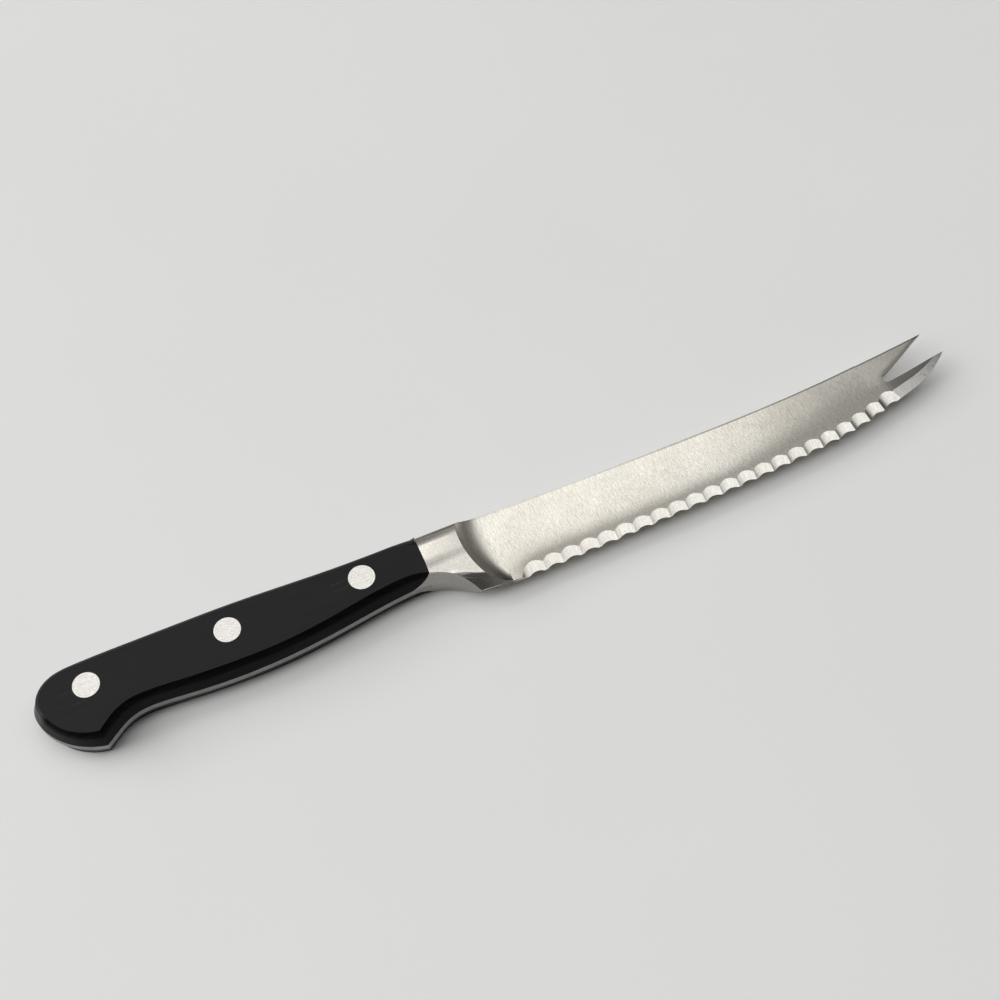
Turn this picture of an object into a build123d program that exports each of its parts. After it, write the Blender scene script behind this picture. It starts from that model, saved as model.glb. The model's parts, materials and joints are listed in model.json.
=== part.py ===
from build123d import *
from math import atan2, cos, degrees, radians, sin, sqrt, tan
import os

# A forked, serrated tomato knife, lying on its left side. Millimetres.
# +X runs along the handle to the tip, +Y to the spine, +Z up. The origin is where the middle
# rivet's axis meets the flat of the lower scale, which rests on the table.

# Handle
handle_length = 112.1       # butt to heel
handle_width = 19.4         # at the belly swell
handle_thickness = 10.8     # over both scales
tang_thickness = 1.8
heel_drop = 13.35           # rivet line to the heel corner

# Blade
blade_length = 140.2        # heel to the lower prong
blade_width = 20.4
edge_drop = 14.2            # rivet line to the first tooth
heel_spine_thickness = 1.9
heel_edge_thickness = 0.84
tip_thinning = 0.35         # lost from heel to tip
point_thickness = 0.24      # at the prong tips
point_taper_length = 24.0

# Bolster
shoulder_setback = 10.6     # heel corner back to the scales' front edge
shoulder_radius = 6.5
ramp_radius = 6.1
ramp_sweep_radius = 27.0    # of the ramp's upper edge, seen from the side
ramp_setback = 0.5          # ramp's upper edge behind the heel corner, on the rivet line
spine_round_radius = 4.4
ridge_drop = 3.0            # rivet line to where the sides begin to fall
side_fall_share = 0.16      # fall of the sides for each unit towards the belly
lip_radius = 3.0
lip_front_radius = 1.0
lip_drop = 8.1              # rivet line to the lip, behind the heel facet
lip_start_setback = 4.8     # behind the heel corner
heel_facet_length = 8.2     # in front of the heel corner

# Serrations
tooth_pitch = 5.0           # measured straight along the blade
toothed_share = 0.785       # of the blade's length
first_tooth_setback = 12.1  # heel to the first tooth
wheel_radius = 9.0
wheel_width = 12.0
grind_angle = 18.5
tooth_depth = 0.75
prong_grind_angle = 13.5

# Scales
edge_bevel = 0.6
blend_length = 9.0          # over which the bolster's rounding and fall run out into the scale

# Rivets
head_diameter = 6.76
head_thickness = 1.3
socket_diameter = 4.4
pin_diameter = 3.0
pin_end_gap = 1.0           # pin's end to the socket's floor, and socket's end to the pin's head
head_clearance = 0.02
pin_clearance = 0.02
socket_clearance = 0.1

# One overrun serves all cuts
overrun = 1.0
sink = 0.05                 # ramp's floor below the blade's face, so that the two cross cleanly
halvings = 24               # steps in which a place on the edge is found

# Places along the handle, in shares of its length
rear_rivet_share = 0.1276   # from the butt
middle_rivet_share = 0.4487
front_rivet_share = 0.7627

# Worked out
rear_reach = middle_rivet_share * handle_length
half_thickness = handle_thickness / 2
half_tang = tang_thickness / 2
scale_thickness = half_thickness - half_tang
heel_x = handle_length - rear_reach
tip_x = heel_x + blade_length
shoulder_x = heel_x - shoulder_setback
body_front_x = heel_x + heel_facet_length + overrun
body_front_share = (body_front_x + rear_reach) / handle_length
first_tooth = (heel_x + first_tooth_setback, -edge_drop)
tooth_count = round(toothed_share * blade_length / tooth_pitch)
rivet_places = {
    "rear": rear_rivet_share * handle_length - rear_reach,
    "middle": 0,
    "front": front_rivet_share * handle_length - rear_reach,
}

# Outlines in shares: along from the butt by the handle's length, across from the rivet line by its width
tang_spine_shares = (
    (body_front_share, 0.326), (0.984, 0.353), (0.895, 0.356), (0.716, 0.371), (0.493, 0.423),
    (0.270, 0.438), (0.110, 0.428), (0.036, 0.304), (0.002, 0.031), (0.009, -0.237), (0.042, -0.515),
    (0.087, -0.698), (0.128, -0.778),
)
face_spine_shares = (
    (body_front_share, 0.255), (0.984, 0.268), (0.900, 0.268), (0.716, 0.275), (0.493, 0.339),
    (0.270, 0.352), (0.119, 0.349), (0.048, 0.270), (0.016, 0.031), (0.022, -0.228), (0.048, -0.471),
    (0.085, -0.626), (0.127, -0.697),
)
tang_belly_shares = (
    (0.151, -0.684), (0.178, -0.580), (0.210, -0.508), (0.250, -0.488), (0.313, -0.518), (0.449, -0.569),
    (0.538, -0.558), (0.674, -0.479), (0.806, -0.369),
)
face_belly_shares = (
    (0.153, -0.574), (0.181, -0.476), (0.210, -0.427), (0.248, -0.417), (0.315, -0.445), (0.449, -0.487),
    (0.538, -0.484), (0.672, -0.402), (0.788, -0.291),
)
tang_waist_share = (0.872, -0.335)
face_waist_share = (0.868, -0.258)
face_heel_share = 0.981     # of the tang's drop at the heel corner

# Blade outline in shares: along from the heel by the blade's length, up from the tooth line by its width
edge_shares = (
    (0.301, 0.034), (0.515, 0.088), (0.690, 0.167), (0.796, 0.273), (0.870, 0.407), (0.936, 0.544),
    (0.976, 0.704),
)
lower_point_share = (1.0, 0.833)
prong_top_shares = ((0.965, 0.789), (0.930, 0.746), (0.895, 0.706))
notch_low_share = (0.872, 0.686)
notch_deep_share = (0.862, 0.751)
notch_high_share = (0.872, 0.816)
prong_under_shares = ((0.892, 0.878), (0.939, 1.046))
upper_point_share = (0.979, 1.189)
spine_shares = ((0.943, 1.158), (0.843, 1.088), (0.700, 1.015), (0.451, 0.981), (0.130, 0.996))
root_share = (-0.02, 1.025)
root_depth_share = 0.35     # where the blade is rooted in the bolster, up from the tooth line

# The bolster's spine wall leans in from the tang to the face, and a rounding touches wall and face
wall_top_share = face_spine_shares[2][1]
wall_lean = handle_width * (tang_spine_shares[2][1] - wall_top_share)
wall_angle = degrees(atan2(wall_lean, scale_thickness))
rounding_y = handle_width * wall_top_share - spine_round_radius * tan(radians((90 - wall_angle) / 2))
rounding_z = half_thickness - spine_round_radius


def handle_point(share):
    """A point of the handle's outline."""
    along, across = share
    return (along * handle_length - rear_reach, across * handle_width)


def blade_point(share):
    """A point of the blade's outline."""
    along, up = share
    return (heel_x + along * blade_length, up * blade_width - edge_drop)


def heel_bottom(x):
    """The height of the plain heel's lower edge, which runs straight to the first tooth."""
    return -heel_drop - (edge_drop - heel_drop) * (x - heel_x) / first_tooth_setback


def handle_outline(spine, belly, waist, heel_y):
    """Spine, butt and hook in one curve, the belly in a second, then the arc down to the heel."""
    upper = Spline(*[handle_point(share) for share in spine])
    lower = Spline(upper @ 1, *[handle_point(share) for share in belly], handle_point(waist))
    drop = RadiusArc(lower @ 1, (heel_x, heel_y), waist_radius(lower @ 1, heel_y))
    front = Polyline(drop @ 1, (body_front_x, heel_bottom(body_front_x) + heel_y + heel_drop), upper @ 0)
    return make_face([upper, lower, drop, front])


def waist_radius(waist, heel_y):
    """The radius that leaves the waist level and reaches the heel corner."""
    run = heel_x - waist.X
    fall = waist.Y - heel_y
    return (run ** 2 + fall ** 2) / (2 * fall)


tang_outline = handle_outline(tang_spine_shares, tang_belly_shares, tang_waist_share, -heel_drop)
face_heel_y = -heel_drop * face_heel_share
face_outline = handle_outline(face_spine_shares, face_belly_shares, face_waist_share, face_heel_y)


def blade_half_thickness(x, y):
    """Half the blade's thickness, which shrinks evenly to the edge and to the tip."""
    up = (y + edge_drop) / blade_width
    along = (x - heel_x) / blade_length
    swell = (heel_spine_thickness - heel_edge_thickness) * up
    return (heel_edge_thickness + swell - tip_thinning * along) / 2


def flank(x, y):
    """The blade's right flank as a plane whose origin lies at the place asked for."""
    across = (heel_spine_thickness - heel_edge_thickness) / blade_width / 2
    along = -tip_thinning / blade_length / 2
    return Plane(origin=(x, y, blade_half_thickness(x, y)), z_dir=(-along, -across, 1))


def right_grip():
    """The right half outside the tang, from butt to blade, its walls leaning out from face to tang."""
    foot = Pos(0, 0, half_tang) * tang_outline
    face = Pos(0, 0, half_thickness) * face_outline
    return loft([foot.face(), face.face()], ruled=True)


def shoulder_front():
    """All that lies in front of the round shoulder on which a scale's front end seats."""
    centre_z = half_tang + shoulder_radius
    rise = centre_z - half_thickness
    arc_x = shoulder_x - sqrt(shoulder_radius ** 2 - rise ** 2)
    low, high = half_tang - overrun, half_thickness + overrun
    front_x = body_front_x + overrun
    with BuildSketch(Plane.XZ.offset(-handle_width)) as profile:
        with BuildLine():
            top_angle = degrees(atan2(rise, shoulder_x - arc_x))
            arc = CenterArc((arc_x, centre_z), shoulder_radius, -90, 90 - top_angle)
            Polyline(arc @ 1, (shoulder_x, high), (front_x, high), (front_x, low), (arc_x, low), arc @ 0)
        make_face()
    return extrude(profile.sketch, amount=2 * handle_width)


def bolster_section(x, lip_y, radius):
    """The bolster's cross-section: side, lip and heel facet."""
    foot_y = heel_bottom(x)
    foot_z = heel_edge_thickness / 2
    lip_z = half_thickness - side_fall_share * (-ridge_drop - lip_y)
    reach = handle_width
    top_z = half_thickness + side_fall_share * (reach + ridge_drop)
    under_y = foot_y - (lip_y - foot_y) * (foot_z + overrun) / (lip_z - foot_z)
    outline = Polyline((under_y, -overrun), (lip_y, lip_z), (reach, top_z), (reach, -overrun), close=True)
    profile = make_face(outline)
    lip = profile.vertices().sort_by_distance((lip_y, lip_z))[0]
    return Plane(origin=(x, 0, 0), x_dir=(0, 1, 0), z_dir=(1, 0, 0)) * fillet(lip, radius)


def bolster_sides():
    """Sides that fall to the belly, and the heel facet whose lip runs down to the edge."""
    end_x = heel_x + heel_facet_length
    end_lip_y = heel_bottom(end_x) + sink
    rear = bolster_section(shoulder_x - shoulder_radius, -lip_drop, lip_radius)
    start = bolster_section(heel_x - lip_start_setback, -lip_drop, lip_radius)
    end = bolster_section(end_x, end_lip_y, lip_front_radius)
    behind = loft([rear.face(), start.face()], ruled=True)
    ahead = loft([start.face(), end.face()], ruled=True)
    return behind + ahead


def ramp():
    """What a round cutter clears above the flank: the bolster's hollow front."""
    axis_x = heel_x - ramp_setback + ramp_sweep_radius
    base = flank(axis_x, 0)
    outward = Vector(0, 1, 0).cross(base.z_dir).normalized()
    across = Plane(origin=base.origin, x_dir=outward, z_dir=outward.cross(base.z_dir))
    rim_height = half_thickness - blade_half_thickness(heel_x, 0)
    floor_radius = ramp_sweep_radius - sqrt(ramp_radius ** 2 - (ramp_radius - rim_height) ** 2)
    angle = degrees(atan2(ramp_sweep_radius - floor_radius, ramp_radius - rim_height))
    with BuildSketch(across) as profile:
        with BuildLine():
            arc = CenterArc((floor_radius, ramp_radius), ramp_radius, -90, angle)
            high = rim_height + 2 * overrun
            Polyline(arc @ 1, (ramp_sweep_radius + overrun, high), (0, high), (0, -sink),
                     (floor_radius, -sink), arc @ 0)
        make_face()
    return revolve(profile.sketch, axis=Axis(base.origin, base.z_dir))


def spine_rounding(length):
    """What rounds the corner of side and spine, drawn about the rounding's own centre."""
    reach = 2 * spine_round_radius
    with BuildSketch(Plane.YZ) as profile:
        with BuildLine():
            arc = CenterArc((0, 0), spine_round_radius, wall_angle, 90 - wall_angle)
            outer = PolarLine(arc @ 0, reach, angle=wall_angle)
            Polyline(outer @ 1, (reach, reach), (0, reach), arc @ 1)
        make_face()
    return extrude(profile.sketch, amount=length)


def bolster_half(grip, front):
    """The right half of the bolster, from the tang's middle out."""
    core = extrude(tang_outline, amount=half_tang)
    rough = (core + (grip & front)) & bolster_sides()
    rounding = Pos(shoulder_x, rounding_y, rounding_z) * spine_rounding(body_front_x - shoulder_x + overrun)
    return rough - ramp() - rounding


def blade_outline():
    """The edge, the fork with its round notch, and the spine, rooted inside the bolster."""
    low_root = blade_point((root_share[0], root_depth_share))
    heel = (heel_x, -heel_drop)
    cutting = [blade_point(share) for share in edge_shares]
    edge = Spline(first_tooth, *cutting, blade_point(lower_point_share))
    bottom = Polyline(blade_point(root_share), low_root, heel, first_tooth)
    under_notch = [blade_point(share) for share in prong_top_shares]
    inner = Spline(edge @ 1, *under_notch, blade_point(notch_low_share))
    notch = ThreePointArc(inner @ 1, blade_point(notch_deep_share), blade_point(notch_high_share))
    over_notch = [blade_point(share) for share in prong_under_shares]
    outer = Spline(notch @ 1, *over_notch, blade_point(upper_point_share))
    spine = Spline(outer @ 1, *[blade_point(share) for share in spine_shares], blade_point(root_share))
    return make_face([bottom, edge, inner, notch, outer, spine]), edge


def above_flank():
    """All that lies above the right flank."""
    reach = 2 * (handle_length + blade_length)
    align = (Align.CENTER, Align.CENTER, Align.MIN)
    return flank(heel_x, 0) * Box(reach, reach, handle_thickness, align=align)


def above_points():
    """What a long round cut takes from the right flank, so that it thins towards the prong tips."""
    start_x = tip_x - point_taper_length
    start_z = blade_half_thickness(start_x, 0)
    fall = start_z - point_thickness / 2
    radius = (point_taper_length ** 2 + fall ** 2) / (2 * fall)
    end_x = tip_x + point_taper_length
    with BuildSketch(Plane.XZ.offset(-blade_width)) as profile:
        with BuildLine():
            arc = RadiusArc((start_x, start_z), (tip_x, point_thickness / 2), radius)
            Polyline(arc @ 1, (end_x, point_thickness / 2), (end_x, handle_thickness),
                     (start_x, handle_thickness), arc @ 0)
        make_face()
    return extrude(profile.sketch, amount=2 * blade_width)


def blade_blank(outline):
    """The blade before its teeth are ground."""
    blank = extrude(outline, amount=half_thickness, both=True)
    for cut in (above_flank(), above_points()):
        blank = blank - cut - mirror(cut, about=Plane.XY)
    return blank


def scallop(place, tangent):
    """What the wheel takes from the right flank to leave one tooth gap."""
    inward = Vector(-tangent.Y, tangent.X, 0).normalized()
    tilt = radians(grind_angle)
    along = inward * cos(tilt) + Vector(0, 0, sin(tilt))
    away = Vector(0, 0, cos(tilt)) - inward * sin(tilt)
    seat = place + inward * tooth_depth - Vector(0, 0, blade_half_thickness(place.X, place.Y))
    wheel = Plane(origin=seat + away * wheel_radius, z_dir=along)
    return wheel * Cylinder(wheel_radius, wheel_width)


def share_at(edge, x):
    """The share of the edge's length at which it has come to a place along the blade."""
    low, high = 0.0, 1.0
    for _ in range(halvings):
        middle = (low + high) / 2
        if (edge @ middle).X < x:
            low = middle
        else:
            high = middle
    return low


def teeth(edge):
    """The tooth gaps, evenly spaced along the blade from the first tooth."""
    cuts = []
    for index in range(tooth_count):
        share = share_at(edge, first_tooth[0] + (index + 0.5) * tooth_pitch)
        cuts.append(scallop(edge @ share, edge % share))
    return cuts


def prong_bevel(edge):
    """The plain bevel ground along the lower prong, beyond the last tooth."""
    start_share = share_at(edge, first_tooth[0] + tooth_count * tooth_pitch)
    start = edge @ start_share
    middle = edge @ ((1 + start_share) / 2)
    sweep = ThreePointArc(start, middle, edge @ 1)
    centre = sweep.arc_center
    radius = sweep.radius
    first_angle = degrees(atan2(start.Y - centre.Y, start.X - centre.X))
    last_angle = degrees(atan2((edge @ 1).Y - centre.Y, (edge @ 1).X - centre.X))
    outward = Vector(start.X - centre.X, start.Y - centre.Y, 0).normalized()
    base = Plane(origin=(centre.X, centre.Y, 0), x_dir=outward, z_dir=outward.cross(Vector(0, 0, 1)))
    rise = tan(radians(prong_grind_angle))
    foot_z = -point_thickness / 2
    width = 2 * heel_spine_thickness / rise
    low_z = foot_z - rise * overrun
    with BuildSketch(base) as profile:
        with BuildLine():
            Polyline((radius + overrun, low_z), (radius + overrun, foot_z + rise * width),
                     (radius - width, foot_z + rise * width), close=True)
        make_face()
    return revolve(profile.sketch, axis=Axis((centre.X, centre.Y, 0), (0, 0, 1)),
                   revolution_arc=2 * (last_angle - first_angle))


def forging(half_bolster):
    """Blade, bolster and full tang, forged in one, with the rivets' holes."""
    outline, edge = blade_outline()
    blade = blade_blank(outline) - prong_bevel(edge)
    for gap in teeth(edge):
        blade = blade - gap
    tang = extrude(tang_outline, amount=half_tang, both=True)
    tang = split(tang, bisect_by=Plane(origin=(shoulder_x, 0, 0), z_dir=(1, 0, 0)), keep=Keep.BOTTOM)
    body = tang + half_bolster + mirror(half_bolster, about=Plane.XY) + blade
    for x in rivet_places.values():
        body = body - Pos(x, 0, 0) * Cylinder(socket_diameter / 2 + socket_clearance, handle_thickness)
    return body


def spine_run_out():
    """The bolster's spine rounding carried on into the scale, where it runs out."""
    bisector = radians((90 + wall_angle) / 2)
    depth = spine_round_radius / cos(radians((90 - wall_angle) / 2)) - spine_round_radius
    side_rate = cos(bisector) * depth / blend_length
    rise_rate = sin(bisector) * depth / blend_length
    place = Plane(origin=(shoulder_x, rounding_y, rounding_z), x_dir=(1, -side_rate, -rise_rate),
                  z_dir=(rise_rate, 0, 1))
    return place * Pos(-2 * blend_length, 0, 0) * spine_rounding(2 * blend_length + overrun)


def belly_run_out():
    """The fall of the bolster's side carried on into the scale, where it runs out."""
    belly_y = face_waist_share[1] * handle_width
    rise_rate = side_fall_share * (-ridge_drop - belly_y) / blend_length
    slope = Plane(origin=(shoulder_x, -ridge_drop, half_thickness), z_dir=(rise_rate, -side_fall_share, 1))
    reach = 2 * handle_length
    align = (Align.CENTER, Align.CENTER, Align.MIN)
    return slope * Box(reach, reach, handle_thickness, align=align)


def right_scale(grip, front):
    """The right scale: bevelled outer edges, a worked-down front end, counterbored rivet holes."""
    outer_edges = grip.edges().filter_by(lambda e: e.center().Z > half_thickness - sink)
    edges = outer_edges.filter_by(lambda e: e.center().X < shoulder_x)
    scale = chamfer(edges, edge_bevel) - front - spine_run_out() - belly_run_out()
    for x in rivet_places.values():
        scale = scale - Pos(x, 0, 0) * Cylinder(socket_diameter / 2 + socket_clearance, 2 * handle_thickness)
        recess = Cylinder(head_diameter / 2 + head_clearance, handle_thickness,
                          align=(Align.CENTER, Align.CENTER, Align.MIN))
        scale = scale - Pos(x, 0, half_thickness - head_thickness) * recess
    return scale


def post(diameter, length):
    """A round bar standing on its lower end."""
    return Cylinder(diameter / 2, length, align=(Align.CENTER, Align.CENTER, Align.MIN))


def rivet_socket():
    """The rivet's hollow half, put in from the left: flush head and tube."""
    length = handle_thickness - head_thickness - pin_end_gap
    bore = length - head_thickness
    return post(head_diameter, head_thickness) + post(socket_diameter, length) - Pos(
        0, 0, head_thickness) * post(pin_diameter + 2 * pin_clearance, bore + overrun)


def rivet_pin():
    """The rivet's solid half, pressed in from the right: flush head and shank."""
    start = head_thickness + pin_end_gap
    top = handle_thickness - head_thickness
    return Pos(0, 0, start) * post(pin_diameter, handle_thickness - start) + Pos(0, 0, top) * post(
        head_diameter, head_thickness)


right_half = right_grip()
front_end = shoulder_front()
scale = right_scale(right_half, front_end)
lift = Pos(0, 0, half_thickness)
pieces = {
    "blade_forging": lift * forging(bolster_half(right_half, front_end)),
    "scale_right": lift * scale,
    "scale_left": lift * mirror(scale, about=Plane.XY),
}
for place, x in rivet_places.items():
    pieces["rivet_" + place + "_socket"] = Pos(x, 0, 0) * rivet_socket()
    pieces["rivet_" + place + "_pin"] = Pos(x, 0, 0) * rivet_pin()

os.makedirs("parts", exist_ok=True)
for name, piece in pieces.items():
    export_step(piece, f"parts/{name}.step")
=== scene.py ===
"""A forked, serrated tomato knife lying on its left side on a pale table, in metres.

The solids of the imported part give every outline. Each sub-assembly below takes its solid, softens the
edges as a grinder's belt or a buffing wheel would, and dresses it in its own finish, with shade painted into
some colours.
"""
from __future__ import annotations

import json
import logging
import math
from dataclasses import dataclass
from enum import Enum
from typing import Callable, Sequence

import bpy
from mathutils import Euler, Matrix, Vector
from mathutils.bvhtree import BVHTree
from mathutils.interpolate import poly_3d_calc

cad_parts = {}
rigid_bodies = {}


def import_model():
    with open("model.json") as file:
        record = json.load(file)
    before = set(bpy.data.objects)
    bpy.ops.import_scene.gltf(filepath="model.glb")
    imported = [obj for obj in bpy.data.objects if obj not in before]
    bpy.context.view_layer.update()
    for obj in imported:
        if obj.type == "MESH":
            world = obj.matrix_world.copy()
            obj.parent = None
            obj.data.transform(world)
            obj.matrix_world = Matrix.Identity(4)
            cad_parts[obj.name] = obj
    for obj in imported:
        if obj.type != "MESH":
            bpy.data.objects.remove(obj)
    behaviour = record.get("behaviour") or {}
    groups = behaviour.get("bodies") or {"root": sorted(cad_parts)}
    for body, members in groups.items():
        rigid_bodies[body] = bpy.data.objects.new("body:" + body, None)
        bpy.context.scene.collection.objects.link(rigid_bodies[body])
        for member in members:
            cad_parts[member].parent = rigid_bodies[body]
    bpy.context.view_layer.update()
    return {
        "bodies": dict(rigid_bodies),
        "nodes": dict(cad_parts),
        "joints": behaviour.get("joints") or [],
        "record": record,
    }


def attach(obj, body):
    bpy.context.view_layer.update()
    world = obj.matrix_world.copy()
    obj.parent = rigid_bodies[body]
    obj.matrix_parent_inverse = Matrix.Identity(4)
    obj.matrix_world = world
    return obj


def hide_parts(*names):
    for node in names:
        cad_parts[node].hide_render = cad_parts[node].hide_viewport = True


Socket = bpy.types.NodeSocket
Colour = tuple[float, float, float]
Span = tuple[float, float]

LOG = logging.getLogger("tomato_knife")
MM = 0.001
MID_HEIGHT = 5.4 * MM  # the knife's middle plane over the table

# Outlines of the blade, as heights in mm over a place x along it. Each is a polynomial of
# (x - LINE_MIDDLE) / LINE_REACH, with the factor of the highest power first.
LINE_MIDDLE = 120.0 * MM
LINE_REACH = 60.0 * MM
EDGE_LINE = (0.536, 1.960, 1.864, 1.749, -9.796)  # along the tops of the tooth gaps
BACK_LINE = (-0.577, 0.833, 1.184, 0.846, -0.097, 5.779)  # along the back
NOTCH_LINE = (22.428, -22.458, 0.995)  # along the fork's notch, on the upper prong


class Region(Enum):
    """A part of the forging with a material of its own; the choil, underside, back edge and tang edge carry
    painted shade.
    """

    FLANK = 0
    TOOTH_GAP = 1
    BOLSTER = 2
    TANG = 3
    CHOIL = 4
    UNDERSIDE = 5
    BACK_EDGE = 6
    TIP_BEVEL = 7


class ScaleRegion(Enum):
    """A part of a scale with a material of its own; the side's material carries painted shade."""

    FACE = 0
    SIDE = 1


class NodeSheet:
    """A material's or group's node tree with short ways to add and join nodes."""

    def __init__(self, tree: bpy.types.NodeTree) -> None:
        """Keeps the tree and starts with no nodes placed."""
        self.tree = tree
        self.placed = 0

    def add(self, kind: str, **settings: object) -> bpy.types.Node:
        """Adds a node.

        Args:
            kind: Blender's name of the node type.
            settings: properties of the node to set.

        Returns:
            The new node.
        """
        node = self.tree.nodes.new(kind)
        node.location = (220 * (self.placed % 8), -260 * (self.placed // 8))
        self.placed += 1
        for name, value in settings.items():
            setattr(node, name, value)
        return node

    def join(self, source: bpy.types.NodeSocket, target: bpy.types.NodeSocket) -> None:
        """Joins an output to an input."""
        self.tree.links.new(source, target)

    def feed(self, target: bpy.types.NodeSocket, value: object) -> None:
        """Joins an output to a socket, or sets the socket where a plain value is given."""
        if isinstance(value, bpy.types.NodeSocket):
            self.join(value, target)
        else:
            target.default_value = value

    def maths(self, operation: str, first: object, second: object = 0.0,
              clamp: bool = False) -> Socket:
        """Adds a Math node.

        Args:
            operation: the Math node's operation.
            first: first value or output.
            second: second value or output.
            clamp: whether the result stays between 0 and 1.

        Returns:
            The node's output.
        """
        node = self.add("ShaderNodeMath", operation=operation, use_clamp=clamp)
        self.feed(node.inputs[0], first)
        self.feed(node.inputs[1], second)
        return node.outputs[0]

    def plus(self, first: object, second: object) -> Socket:
        """Adds two values."""
        return self.maths("ADD", first, second)

    def minus(self, first: object, second: object) -> Socket:
        """Takes the second value from the first."""
        return self.maths("SUBTRACT", first, second)

    def times(self, first: object, second: object) -> Socket:
        """Multiplies two values."""
        return self.maths("MULTIPLY", first, second)

    def axes(self, vector: Socket) -> bpy.types.NodeOutputs:
        """Splits a vector and returns its X, Y and Z outputs."""
        node = self.add("ShaderNodeSeparateXYZ")
        self.join(vector, node.inputs[0])
        return node.outputs

    def stretched(self, vector: Socket, rates: Sequence[Socket]) -> Socket:
        """Multiplies each axis of a vector by a rate of its own."""
        parts = self.axes(vector)
        place = self.add("ShaderNodeCombineXYZ")
        for axis, rate, target in zip("XYZ", rates, place.inputs):
            self.join(self.times(parts[axis], rate), target)
        return place.outputs[0]

    def noise(self, vector: Socket, scale: object, detail: float, roughness: float = 0.5) -> Socket:
        """Adds a noise texture.

        Args:
            vector: where it is laid.
            scale: how often it changes over a unit of the vector.
            detail: how many finer layers it has.
            roughness: how strong the finer layers are.

        Returns:
            The noise, mostly between 0.3 and 0.7.
        """
        node = self.add("ShaderNodeTexNoise", noise_dimensions="3D")
        self.join(vector, node.inputs["Vector"])
        self.feed(node.inputs["Scale"], scale)
        node.inputs["Detail"].default_value = detail
        node.inputs["Roughness"].default_value = roughness
        return node.outputs[0]

    def spread(self, value: object, low: float, high: float, to_low: float,
               to_high: float) -> Socket:
        """Maps a value smoothly from one range to another and clamps it there."""
        node = self.add("ShaderNodeMapRange", interpolation_type="SMOOTHSTEP")
        self.feed(node.inputs["Value"], value)
        node.inputs["From Min"].default_value = low
        node.inputs["From Max"].default_value = high
        node.inputs["To Min"].default_value = to_low
        node.inputs["To Max"].default_value = to_high
        return node.outputs["Result"]

    def tint(self, share: object, first: object, second: object, blend: str = "MIX") -> Socket:
        """Mixes two colours by a share and returns the colour output."""
        node = self.add("ShaderNodeMix", data_type="RGBA", blend_type=blend)
        self.feed(node.inputs[0], share)
        self.feed(node.inputs[6], first)
        self.feed(node.inputs[7], second)
        return node.outputs[2]


def outline(sheet: NodeSheet, place_x: Socket, factors: Sequence[float]) -> Socket:
    """Gives the height in metres of one of the blade's outlines over a place along it.

    Args:
        sheet: the node tree to work in.
        place_x: the place along the blade, in metres.
        factors: the outline's factors, such as EDGE_LINE.

    Returns:
        The node output.
    """
    along = sheet.maths("DIVIDE", sheet.minus(place_x, LINE_MIDDLE), LINE_REACH)
    line: object = factors[0]
    for factor in factors[1:]:
        line = sheet.plus(sheet.times(line, along), factor)
    return sheet.times(line, MM)


def new_group(name: str, inputs: Sequence[tuple[str, str, object]],
              outputs: Sequence[tuple[str, str]]) -> bpy.types.NodeTree:
    """Makes an empty shader node group with named sockets.

    Args:
        name: the group's name.
        inputs: name, socket type and default of each input.
        outputs: name and socket type of each output.

    Returns:
        The group, with its Group Input and Group Output nodes.
    """
    group = bpy.data.node_groups.new(name, "ShaderNodeTree")
    for label, kind, default in inputs:
        socket = group.interface.new_socket(label, in_out="INPUT", socket_type=kind)
        if default is not None:
            socket.default_value = default
    for label, kind in outputs:
        group.interface.new_socket(label, in_out="OUTPUT", socket_type=kind)
    group.nodes.new("NodeGroupInput")
    group.nodes.new("NodeGroupOutput")
    return group


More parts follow.
